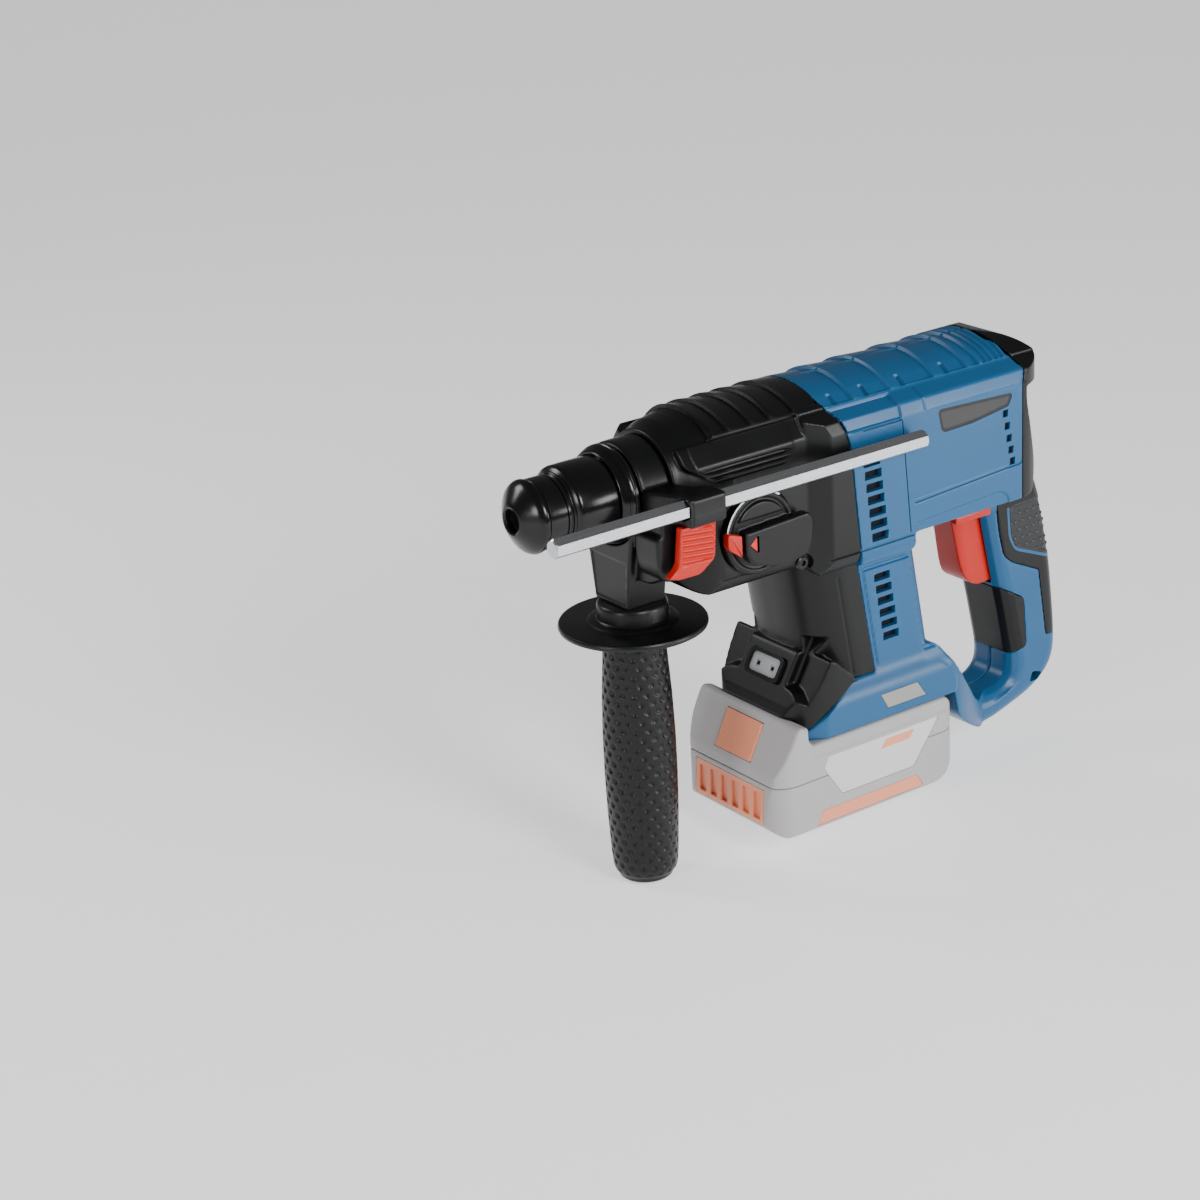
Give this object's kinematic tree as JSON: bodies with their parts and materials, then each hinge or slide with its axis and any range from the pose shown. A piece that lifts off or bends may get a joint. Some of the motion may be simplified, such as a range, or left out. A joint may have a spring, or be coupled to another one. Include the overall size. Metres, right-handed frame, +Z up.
{
  "type": "cordless rotary hammer",
  "caption": "Cordless rotary hammer with a slide-on battery pack, clamp-on side handle with a depth rod, spring-locked chuck and a gear-driven hammer mechanism.",
  "frame": {"origin": "middle of the battery pack's flat underside", "axes": "+X from the chuck to the handle, +Z up, +Y to the tool's far side as seen from its left"},
  "size_m": [0.3253, 0.0859, 0.225],
  "materials": {
    "blue_plastic": "moulded, satin",
    "black_plastic": "moulded, satin",
    "chuck_plastic": "glossy",
    "soft_grip": "soft, matt",
    "red_plastic": "satin",
    "lens": "clear",
    "insert": "textured",
    "name_plate": "brushed",
    "screw": "blackened",
    "winding": "wound copper in laminations",
    "bearing": "ground",
    "cast_plate": "cast",
    "inner_plastic": "moulded",
    "board": "lacquered board",
    "steel": "machined",
    "dark_steel": "phosphated",
    "rod_steel": "zinc plated",
    "pack_plastic": "moulded",
    "pack_grey": "moulded",
    "pack_salmon": "moulded",
    "cells": "wrapped cells"
  },
  "bodies": {
    "housing": {"bearing_plate": "cast_plate", "control_board": "board", "front_grip": "soft_grip", "gear_housing": "black_plastic", "lamp_lens": "lens", "left_housing": "blue_plastic", "left_insert": "insert", "left_plate": "name_plate", "lower_bearing": "bearing", "motor_cover": "black_plastic", "rear_cap": "black_plastic", "rear_grip": "soft_grip", "right_housing": "blue_plastic", "right_insert": "insert", "right_plate": "name_plate", "screw_1": "screw", "screw_2": "screw", "screw_3": "screw", "screw_4": "screw", "spindle_bearing": "bearing", "stator": "winding", "switch_module": "inner_plastic", "terminal_block": "inner_plastic", "upper_bearing": "bearing"},
    "rotor": {"rotor_shaft": "steel", "rotor_core": "dark_steel", "fan": "inner_plastic"},
    "crank": {"crank_wheel": "steel"},
    "bevel_drive": {"bevel_shaft": "steel"},
    "spindle": {"hammer_tube": "dark_steel", "bevel_ring": "steel", "dust_cap": "soft_grip", "chuck_ring": "chuck_plastic", "guard_ring": "chuck_plastic", "locking_ball": "steel", "sleeve_spring": "steel"},
    "sleeve": {"locking_sleeve": "chuck_plastic"},
    "piston_set": {"piston": "steel", "connecting_rod": "steel"},
    "striker_body": {"striker": "steel"},
    "impact_body": {"impact_bolt": "steel"},
    "selector": {"selector_knob": "black_plastic", "selector_pointer": "red_plastic"},
    "selector_lock": {"selector_button": "red_plastic"},
    "trigger_body": {"trigger": "red_plastic"},
    "direction_body": {"direction_switch": "red_plastic"},
    "side_handle": {"clamp_body": "black_plastic", "clamp_band": "steel", "clamp_bolt": "steel", "handle_guard": "black_plastic"},
    "side_grip": {"handle_grip": "soft_grip"},
    "rod_release": {"rod_button": "red_plastic"},
    "depth_stop": {"depth_rod": "rod_steel"},
    "battery": {"battery_upper": "pack_plastic", "battery_lower": "pack_plastic", "battery_grille": "pack_grey", "battery_label": "pack_salmon", "battery_strip": "pack_salmon", "cell_pack": "cells"},
    "battery_release": {"battery_button": "pack_salmon"}
  },
  "joints": [
    {"name": "rotor_spin", "type": "hinge", "parent": "housing", "child": "rotor", "pos_m": [0.00375, 0, 0.101], "axis": [0, 0, 1], "continuous": true},
    {"name": "crank_spin", "type": "hinge", "parent": "housing", "child": "crank", "pos_m": [0.02295, 0, 0.142], "axis": [0, 0, 1], "continuous": true},
    {"name": "bevel_spin", "type": "hinge", "parent": "housing", "child": "bevel_drive", "pos_m": [-0.01545, 0, 0.142], "axis": [0, 0, 1], "continuous": true},
    {"name": "spindle_spin", "type": "hinge", "parent": "housing", "child": "spindle", "pos_m": [-0.09425, 0, 0.181], "axis": [1, 0, 0], "continuous": true},
    {"name": "sleeve_slide", "type": "slide", "parent": "spindle", "child": "sleeve", "axis": [1, 0, 0], "range_m": [0, 0.0065], "stiffness_N_per_m": 600, "springref_m": -0.002, "deforming": ["sleeve_spring"]},
    {"name": "piston_slide", "type": "slide", "parent": "housing", "child": "piston_set", "axis": [1, 0, 0], "range_m": [0, 0.018]},
    {"name": "striker_slide", "type": "slide", "parent": "spindle", "child": "striker_body", "axis": [1, 0, 0], "range_m": [-0.005, 0.022]},
    {"name": "impact_slide", "type": "slide", "parent": "spindle", "child": "impact_body", "axis": [1, 0, 0], "range_m": [-0.005, 0.002]},
    {"name": "selector_turn", "type": "hinge", "parent": "housing", "child": "selector", "pos_m": [-0.05775, -0.032, 0.156], "axis": [0, 1, 0], "range_deg": [-45, 90]},
    {"name": "selector_lock_press", "type": "slide", "parent": "selector", "child": "selector_lock", "axis": [1, 0, 0], "range_m": [0, 0.0012], "stiffness_N_per_m": 300, "springref_m": -0.001},
    {"name": "trigger_pull", "type": "slide", "parent": "housing", "child": "trigger_body", "axis": [1, 0, 0], "range_m": [0, 0.007], "stiffness_N_per_m": 500, "springref_m": -0.003},
    {"name": "direction_shift", "type": "slide", "parent": "housing", "child": "direction_body", "axis": [0, 1, 0], "range_m": [-0.003, 0.003]},
    {"name": "handle_swing", "type": "hinge", "parent": "housing", "child": "side_handle", "pos_m": [-0.10685, 0, 0.181], "axis": [1, 0, 0], "range_deg": [-180, 5]},
    {"name": "grip_twist", "type": "hinge", "parent": "side_handle", "child": "side_grip", "pos_m": [-0.10685, 0, 0.051], "axis": [0, 0, 1], "continuous": true},
    {"name": "rod_release_press", "type": "slide", "parent": "side_handle", "child": "rod_release", "axis": [0, 1, 0], "range_m": [0, 0.002], "stiffness_N_per_m": 400, "springref_m": -0.001},
    {"name": "depth_slide", "type": "slide", "parent": "side_handle", "child": "depth_stop", "axis": [1, 0, 0], "range_m": [-0.11, 0.06]},
    {"name": "battery_slide", "type": "slide", "parent": "housing", "child": "battery", "axis": [-1, 0, 0], "range_m": [0, 0.03]},
    {"name": "battery_release_press", "type": "slide", "parent": "battery", "child": "battery_release", "axis": [0.891, 0, -0.454], "range_m": [0, 0.002], "stiffness_N_per_m": 400, "springref_m": -0.001}
  ],
  "couplings": [
    {"joint": "crank_spin", "follows": "rotor_spin", "ratio": -0.2},
    {"joint": "bevel_spin", "follows": "rotor_spin", "ratio": -0.2},
    {"joint": "spindle_spin", "follows": "rotor_spin", "ratio": 0.05}
  ]
}
